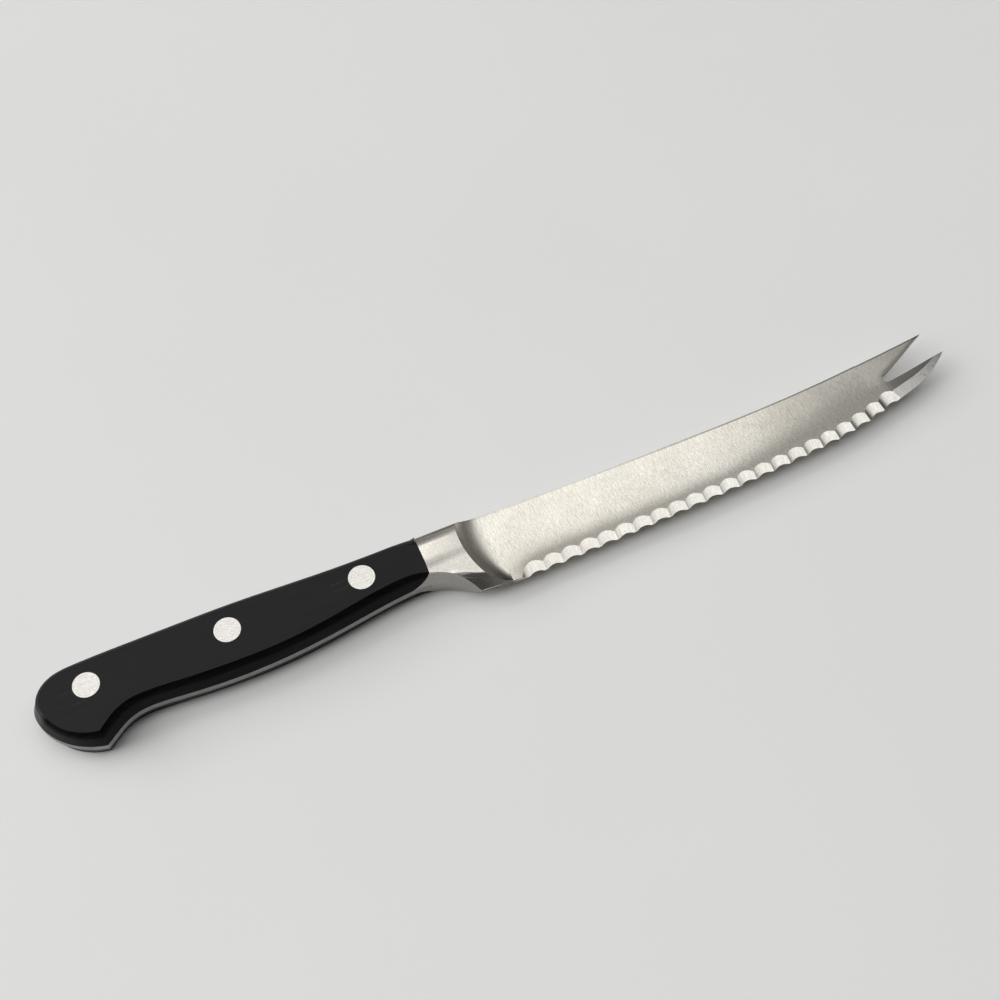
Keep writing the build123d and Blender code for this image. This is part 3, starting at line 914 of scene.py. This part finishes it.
@dataclass
class Forging:
    """Blade, bolster and tang in one piece of steel."""

    frame: dict
    effects: SurfaceEffects
    sharp_angle: float = 40.0
    back_rounding: float = 0.3 * MM
    back_steps: int = 4
    edge_rounding: float = 0.08 * MM
    edge_steps: int = 2
    tang_end: float = 51.0 * MM
    tang_half_width: float = 1.0 * MM
    underside_end: float = 60.0 * MM
    bolster_end: float = 63.0 * MM
    ramp_end: float = 70.0 * MM
    choil_end: float = 71.0 * MM
    back_start: float = 68.0 * MM
    back_height: float = 4.0 * MM
    notch_start: float = 182.5 * MM
    notch_height: float = -0.5 * MM
    notch_slope: float = 0.3
    tip_bevel_start: float = 183.6 * MM
    downward: float = -0.45
    heelward: float = -0.4
    ramp_tilt: float = 0.2
    ramp_flatness: float = 0.3
    flatness: float = 0.993
    bevel_tilt: float = -0.1

    def build(self) -> bpy.types.Object:
        """Makes the piece and dresses it.

        Returns:
            The finished forging.
        """
        solid = self.frame["nodes"]["blade_forging"]
        piece = Bench.from_solid(solid, "blade_bolster_tang")
        Bench.round_edges(piece, self.back_rounding, self.sharp_angle, self.back_steps, self.on_back)
        Bench.round_edges(piece, self.edge_rounding, self.sharp_angle, self.edge_steps,
                          lambda middle: not self.on_back(middle))
        Bench.exact_normals(piece, solid)
        coarse = {"lines_per_metre": 4000.0, "length_share": 0.7}
        # The tang's edge, the choil, the bolster's underside and the back edge get darker copies of the same
        # steel: painted shade on faces turned away from the light.
        finishes = [
            GroundSteel("blade_flank_steel", crowned=True),
            GroundSteel("tooth_gap_steel", (0.84, 0.82, 0.77), (0.60, 0.58, 0.53), roughness=0.26),
            BuffedSteel("bolster_steel"),
            GroundSteel("tang_edge_steel", (0.33, 0.33, 0.32), (0.24, 0.24, 0.23), roughness=0.45,
                        turn=90.0),
            GroundSteel("choil_steel", (0.30, 0.293, 0.275), (0.12, 0.117, 0.108), roughness=0.5,
                        **coarse),
            GroundSteel("bolster_underside_steel", (0.50, 0.49, 0.46), (0.30, 0.29, 0.27), roughness=0.5,
                        **coarse),
            GroundSteel("back_edge_steel", (0.42, 0.41, 0.39), (0.30, 0.29, 0.27), roughness=0.35),
            GroundSteel("tip_bevel_steel", (0.60, 0.59, 0.56), (0.38, 0.37, 0.35), roughness=0.3,
                        pitted=True),
        ]
        Bench.paint(piece, [finish.make(self.effects) for finish in finishes], self.region)
        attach(piece, "root")
        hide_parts("blade_forging")
        return piece

    def on_back(self, middle: Vector) -> bool:
        """Tells whether an edge belongs to the blade's back or to the notch of the fork."""
        return middle.x > self.back_start and (middle.y > self.back_height or self.in_notch(middle))

    def in_notch(self, middle: Vector) -> bool:
        """Tells whether a place lies on the notch's outline."""
        along = middle.x - self.notch_start
        return along > 0.0 and middle.y > self.notch_height + self.notch_slope * along

    def region(self, centre: Vector, normal: Vector) -> Region:
        """Names the region of a face, which picks its finish; some regions carry painted shade.

        Args:
            centre: the face's centre.
            normal: the face's normal.

        Returns:
            The region that the face belongs to.
        """
        if centre.x < self.tang_end and abs(centre.z - MID_HEIGHT) < self.tang_half_width:
            return Region.TANG
        if centre.x < self.choil_end and normal.y < self.downward:
            hidden = normal.x < self.heelward or centre.x < self.underside_end
            return Region.UNDERSIDE if hidden else Region.CHOIL
        if centre.x < self.bolster_end and normal.x < self.ramp_tilt:
            return Region.BOLSTER
        on_ramp = centre.x < self.ramp_end and abs(normal.z) > self.ramp_flatness
        if on_ramp or abs(normal.z) > self.flatness:
            return Region.FLANK
        if self.on_back(centre):
            return Region.BACK_EDGE
        on_bevel = centre.x > self.tip_bevel_start and normal.x > self.bevel_tilt
        return Region.TIP_BEVEL if on_bevel else Region.TOOTH_GAP


@dataclass
class Scales:
    """The two dark scales on the tang."""

    frame: dict
    effects: SurfaceEffects
    edge_width: float = 0.5 * MM
    edge_steps: int = 4
    sharp_angle: float = 22.0
    flatness: float = 0.96

    def build(self) -> list[bpy.types.Object]:
        """Makes both scales and dresses them.

        Returns:
            The finished scales.
        """
        plastics = [
            # The sides' copy reflects less: painted shade in the crease and on the lower side.
            HandlePlastic("handle_plastic").make(self.effects),
            HandlePlastic("handle_side_painted_shade_plastic", side_specular=0.11, crease_specular=0.02).make(
                self.effects),
        ]
        pieces = []
        for side in ("right", "left"):
            solid = self.frame["nodes"][f"scale_{side}"]
            piece = Bench.from_solid(solid, f"{side}_scale")
            Bench.round_edges(piece, self.edge_width, self.sharp_angle, self.edge_steps)
            Bench.exact_normals(piece, solid)
            Bench.paint(piece, plastics, self.region)
            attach(piece, "root")
            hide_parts(f"scale_{side}")
            pieces.append(piece)
        return pieces

    def region(self, _: Vector, normal: Vector) -> ScaleRegion:
        """Names a scale face's region by its normal; the side's material carries painted shade."""
        return ScaleRegion.SIDE if abs(normal.z) < self.flatness else ScaleRegion.FACE


@dataclass
class Rivets:
    """Three two-part rivets."""

    frame: dict
    effects: SurfaceEffects
    edge_width: float = 0.08 * MM
    edge_steps: int = 2
    sharp_angle: float = 40.0

    def build(self) -> list[bpy.types.Object]:
        """Makes the six rivet halves and dresses them.

        Returns:
            The finished halves.
        """
        metal = RivetMetal("rivet_metal").make(self.effects)
        pieces = []
        for place in ("rear", "middle", "front"):
            for half in ("socket", "pin"):
                node = f"rivet_{place}_{half}"
                solid = self.frame["nodes"][node]
                piece = Bench.from_solid(solid, f"{place}_rivet_{half}")
                Bench.round_edges(piece, self.edge_width, self.sharp_angle, self.edge_steps)
                Bench.exact_normals(piece, solid)
                piece.data.materials.append(metal)
                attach(piece, "root")
                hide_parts(node)
                pieces.append(piece)
        return pieces


@dataclass(frozen=True)
class SoftPanel:
    """A large soft lamp under the ceiling, given by the slopes at which the knife sees it."""

    name: str
    slopes_x: Span
    slopes_y: Span
    radiance: float
    height: float = 3.0

    def hang(self) -> None:
        """Puts the lamp in the scene, facing down."""
        light = bpy.data.lights.new(self.name, "AREA")
        light.shape = "RECTANGLE"
        light.size = self.height * (self.slopes_x[1] - self.slopes_x[0])
        light.size_y = self.height * (self.slopes_y[1] - self.slopes_y[0])
        light.energy = self.radiance * math.pi * light.size * light.size_y
        lamp = bpy.data.objects.new(self.name, light)
        middle_x, middle_y = sum(self.slopes_x) / 2, sum(self.slopes_y) / 2
        lamp.location = (self.height * middle_x, self.height * middle_y, self.height)
        bpy.context.scene.collection.objects.link(lamp)


@dataclass
class Studio:
    """Table, soft light and camera."""

    effects: SurfaceEffects
    table_size: float = 6.0
    lens: float = 62.373
    sensor_width: float = 36.0
    near_clip: float = 0.01
    camera_place: tuple[float, float, float] = (0.002899, -0.210372, 0.38546)
    camera_turn: tuple[float, float, float] = (31.232889, 2.755023, -23.005755)
    centre_shift: float = 0.0005
    horizon_light: float = 0.15
    zenith_light: float = 0.32
    climb: Span = (0.0, 0.9)
    far_side: Span = (0.36, 0.60)
    far_side_share: float = 0.13
    front: tuple[float, float, float] = (-0.1, -0.88, 0.46)
    front_span: Span = (0.6, 0.85)
    front_share: float = 0.12
    camera_sees: float = 0.9

    def build(self) -> None:
        """Sets up the table, the lamps, the surroundings and the camera."""
        self._table()
        for panel in (
            SoftPanel("back_panel", (-1.5, 0.45), (0.40, 0.76), 1.06),
            SoftPanel("far_panel", (0.46, 0.85), (0.42, 0.80), 0.22),
            SoftPanel("top_panel", (-1.2, 1.1), (-0.38, 0.17), 1.05),
            SoftPanel("side_window", (-3.4, -0.85), (-0.5, 2.0), 3.6),
        ):
            panel.hang()
        self._surroundings()
        self._camera()

    def _table(self) -> None:
        """Lays the table under the knife."""
        Bench.clear_selection()
        bpy.ops.mesh.primitive_plane_add(size=self.table_size, location=(0.0, 0.0, 0.0))
        table = bpy.context.object
        table.name = "table"
        table.data.materials.append(TableTop("table_top").make(self.effects))

    def _surroundings(self) -> None:
        """Gives the room a soft light, weaker at the horizon, on the tip's side and at the front."""
        world = bpy.data.worlds.new("room")
        bpy.context.scene.world = world
        world.use_nodes = True
        sheet = NodeSheet(world.node_tree)
        background = world.node_tree.nodes["Background"]
        background.inputs["Color"].default_value = (1.0, 1.0, 1.0, 1.0)
        direction = sheet.add("ShaderNodeTexCoord").outputs["Generated"]
        parts = sheet.axes(direction)
        level = sheet.spread(parts["Z"], *self.climb, self.horizon_light, self.zenith_light)
        far_side = sheet.spread(parts["X"], *self.far_side, 1.0, self.far_side_share)
        towards = sheet.add("ShaderNodeVectorMath", operation="DOT_PRODUCT")
        sheet.join(direction, towards.inputs[0])
        towards.inputs[1].default_value = self.front
        front = sheet.spread(towards.outputs["Value"], *self.front_span, 1.0, self.front_share)
        level = sheet.times(sheet.times(level, far_side), front)
        straight = sheet.add("ShaderNodeLightPath").outputs["Is Camera Ray"]
        lit = sheet.times(sheet.minus(1.0, straight), level)
        sheet.join(sheet.plus(sheet.times(straight, self.camera_sees), lit), background.inputs["Strength"])

    def _camera(self) -> None:
        """Places the camera where the photograph was taken from."""
        data = bpy.data.cameras.new("camera")
        data.sensor_width = self.sensor_width
        data.lens = self.lens
        data.shift_x = -self.centre_shift
        data.shift_y = self.centre_shift
        data.clip_start = self.near_clip
        camera = bpy.data.objects.new("camera", data)
        camera.location = self.camera_place
        camera.rotation_euler = Euler([math.radians(a) for a in self.camera_turn])
        bpy.context.scene.collection.objects.link(camera)
        bpy.context.scene.camera = camera


def main() -> None:
    """Builds the knife and its surroundings and notes the sizes."""
    logging.basicConfig(level=logging.INFO, format="%(name)s: %(message)s")
    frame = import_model()
    effects = SurfaceEffects()
    pieces = [Forging(frame, effects).build()]
    pieces += Scales(frame, effects).build()
    pieces += Rivets(frame, effects).build()
    for piece in pieces:
        LOG.info("%s: %d faces", piece.name, len(piece.data.polygons))
    Studio(effects).build()
    bpy.context.scene.view_settings.view_transform = "Standard"
    bpy.context.view_layer.update()


if __name__ == "__main__":
    main()
